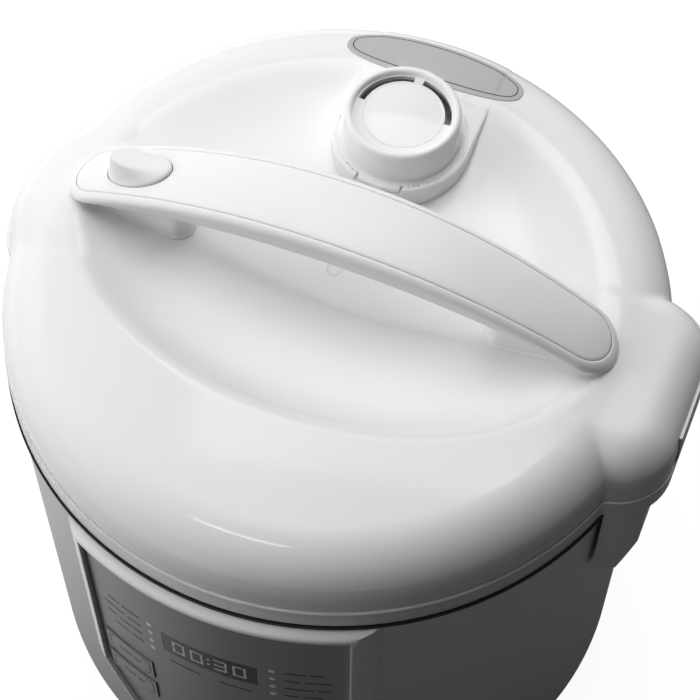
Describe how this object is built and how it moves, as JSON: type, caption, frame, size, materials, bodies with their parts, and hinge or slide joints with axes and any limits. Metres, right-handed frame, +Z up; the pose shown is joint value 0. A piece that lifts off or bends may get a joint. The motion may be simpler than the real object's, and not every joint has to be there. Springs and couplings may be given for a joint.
{
  "type": "electric pressure cooker",
  "caption": "Round electric pressure cooker with a domed twist-lock lid, bow handle, steam valve cap, steam release button, steel body, side handles and a front control panel",
  "frame": {"origin": "centre of the footprint on the surface the feet stand on", "axes": "+Z up along the pot's axis, -Y towards the control panel, +X to the right side handle along the lid's bow handle"},
  "size_m": [0.307, 0.295, 0.317],
  "materials": {
    "white_gloss": "smooth glossy white moulding",
    "shell_steel": "satin steel sheet, brushed round the body",
    "pot_metal": "drawn aluminium with a satin inside",
    "housing_steel": "zinc-grey drawn sheet",
    "lid_steel": "polished pressed steel",
    "heater_cast": "machined casting",
    "silicone": "milky soft silicone",
    "black_rubber": "matt black rubber",
    "black_plastic": "black moulding, fine grain",
    "panel_silver": "silver-grey printed face",
    "key_grey": "pale grey key caps",
    "display_dark": "dark tinted window",
    "light_red": "small tinted light guides",
    "board_green": "lacquered circuit board",
    "electric_grey": "moulded electric parts",
    "screw_steel": "zinc-plated screws and springs",
    "pin_brass": "plated contact brass",
    "badge_silver": "bare plate with a thin border"
  },
  "bodies": {
    "body": {"base_cover": "black_plastic", "base_screws": "screw_steel", "board_components": "electric_grey", "board_screws": "screw_steel", "control_board": "board_green", "display_module": "electric_grey", "display_window": "display_dark", "heater_terminals": "pin_brass", "heating_plate": "heater_cast", "indicator_lights": "light_red", "inlet_pins": "pin_brass", "inlet_socket": "black_plastic", "inner_pot": "pot_metal", "left_side_handle": "white_gloss", "outer_pot": "housing_steel", "outer_shell": "shell_steel", "panel_bezel": "white_gloss", "panel_face": "panel_silver", "power_board": "board_green", "pressure_switch": "electric_grey", "right_side_handle": "white_gloss", "rubber_feet": "black_rubber", "side_handle_screws": "screw_steel", "tact_switches": "electric_grey", "thermal_cutout": "electric_grey", "top_ring": "white_gloss"},
    "lid": {"lid_cover": "white_gloss", "badge_plate": "badge_silver", "inner_lid": "lid_steel", "sealing_ring": "silicone", "seal_holder": "lid_steel", "holder_nut": "black_plastic", "lid_pillars": "screw_steel", "vent_tube": "lid_steel", "vent_nut": "screw_steel", "vent_shield": "lid_steel", "float_bush": "silicone", "handle_base": "white_gloss", "handle_top": "white_gloss", "handle_screws": "screw_steel", "lever_bracket": "screw_steel", "lever_pin": "screw_steel"},
    "release_button": {"release_button": "white_gloss", "push_rod": "screw_steel", "button_spring": "screw_steel"},
    "release_lever": {"release_lever": "black_plastic"},
    "valve_weight": {"valve_weight": "screw_steel"},
    "steam_cap": {"steam_cap_ring": "white_gloss", "steam_cap_disc": "white_gloss"},
    "float_valve": {"float_valve": "screw_steel"},
    "sensor": {"sensor_probe": "heater_cast", "sensor_spring": "screw_steel"},
    "key_cancel": {"key_cancel": "key_grey"},
    "key_left_1": {"key_left_1": "key_grey"},
    "key_left_2": {"key_left_2": "key_grey"},
    "key_right_1": {"key_right_1": "key_grey"},
    "key_right_2": {"key_right_2": "key_grey"},
    "key_start": {"key_start": "key_grey"}
  },
  "joints": [
    {"name": "lid_turn", "type": "hinge", "parent": "body", "child": "lid", "pos_m": [0, 0, 0.2345], "axis": [0, 0, 1], "range_deg": [-30, 0]},
    {"name": "release_press", "type": "slide", "parent": "lid", "child": "release_button", "axis": [0, 0, -1], "range_m": [0, 0.003], "stiffness_N_per_m": 500, "springref_m": -0.004, "deforming": ["button_spring"]},
    {"name": "release_tilt", "type": "hinge", "parent": "lid", "child": "release_lever", "pos_m": [-0.044, 0.037, 0.2515], "axis": [0.6436, -0.7654, 0], "range_deg": [0, 3.05]},
    {"name": "valve_lift", "type": "slide", "parent": "lid", "child": "valve_weight", "axis": [0, 0, 1], "range_m": [0, 0.003]},
    {"name": "steam_cap_pull", "type": "slide", "parent": "lid", "child": "steam_cap", "axis": [0, 0, 1], "range_m": [0, 0.045]},
    {"name": "float_rise", "type": "slide", "parent": "lid", "child": "float_valve", "axis": [0, 0, 1], "range_m": [0, 0.005]},
    {"name": "sensor_press", "type": "slide", "parent": "body", "child": "sensor", "axis": [0, 0, -1], "range_m": [0, 0.003], "stiffness_N_per_m": 300, "springref_m": -0.004, "deforming": ["sensor_spring"]},
    {"name": "key_cancel_press", "type": "slide", "parent": "body", "child": "key_cancel", "axis": [0, 1, 0], "range_m": [0, 0.0005], "stiffness_N_per_m": 1500, "springref_m": -0.0004},
    {"name": "key_left_1_press", "type": "slide", "parent": "body", "child": "key_left_1", "axis": [0, 1, 0], "range_m": [0, 0.0005], "stiffness_N_per_m": 1500, "springref_m": -0.0004},
    {"name": "key_left_2_press", "type": "slide", "parent": "body", "child": "key_left_2", "axis": [0, 1, 0], "range_m": [0, 0.0005], "stiffness_N_per_m": 1500, "springref_m": -0.0004},
    {"name": "key_right_1_press", "type": "slide", "parent": "body", "child": "key_right_1", "axis": [0, 1, 0], "range_m": [0, 0.0005], "stiffness_N_per_m": 1500, "springref_m": -0.0004},
    {"name": "key_right_2_press", "type": "slide", "parent": "body", "child": "key_right_2", "axis": [0, 1, 0], "range_m": [0, 0.0005], "stiffness_N_per_m": 1500, "springref_m": -0.0004},
    {"name": "key_start_press", "type": "slide", "parent": "body", "child": "key_start", "axis": [0, 1, 0], "range_m": [0, 0.0005], "stiffness_N_per_m": 1500, "springref_m": -0.0004}
  ],
  "couplings": [
    {"joint": "release_tilt", "follows": "release_press", "rad_per_m": 17.395},
    {"joint": "valve_lift", "follows": "release_press", "ratio": 1}
  ]
}
